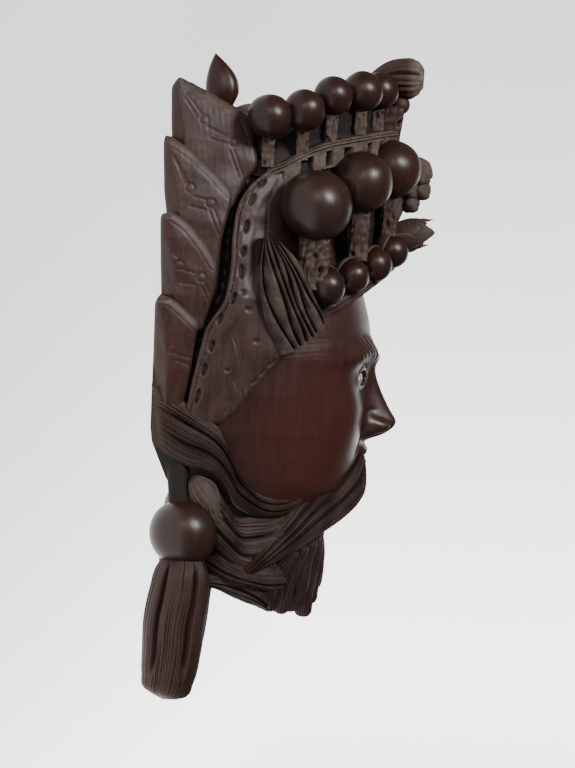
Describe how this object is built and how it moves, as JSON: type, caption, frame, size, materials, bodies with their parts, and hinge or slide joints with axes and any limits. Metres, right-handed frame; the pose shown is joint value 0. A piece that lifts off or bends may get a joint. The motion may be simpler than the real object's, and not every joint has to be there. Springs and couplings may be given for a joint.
{
  "type": "carved wood wall mask",
  "caption": "Carved hardwood wall mask of a bearded warrior in a beaded helmet with leaf-shaped side wings and ear pendants, with a flat hollowed back.",
  "frame": {"origin": "middle of the bounding box on the plane of the flat back, which the mask lies on", "axes": "+X to the mask's own left, +Y to the top of the helmet, +Z out of the back through the face"},
  "size_m": [0.1679, 0.3009, 0.1273],
  "materials": {
    "dark_wood": "dark red-brown hardwood, oiled and hand polished, with pale dust in the cuts",
    "inlay_white": "polished off-white bone inlay with a painted dark pupil"
  },
  "bodies": {
    "root": {"mask_body": "dark_wood", "eye_left": "inlay_white", "eye_right": "inlay_white"}
  },
  "joints": []
}
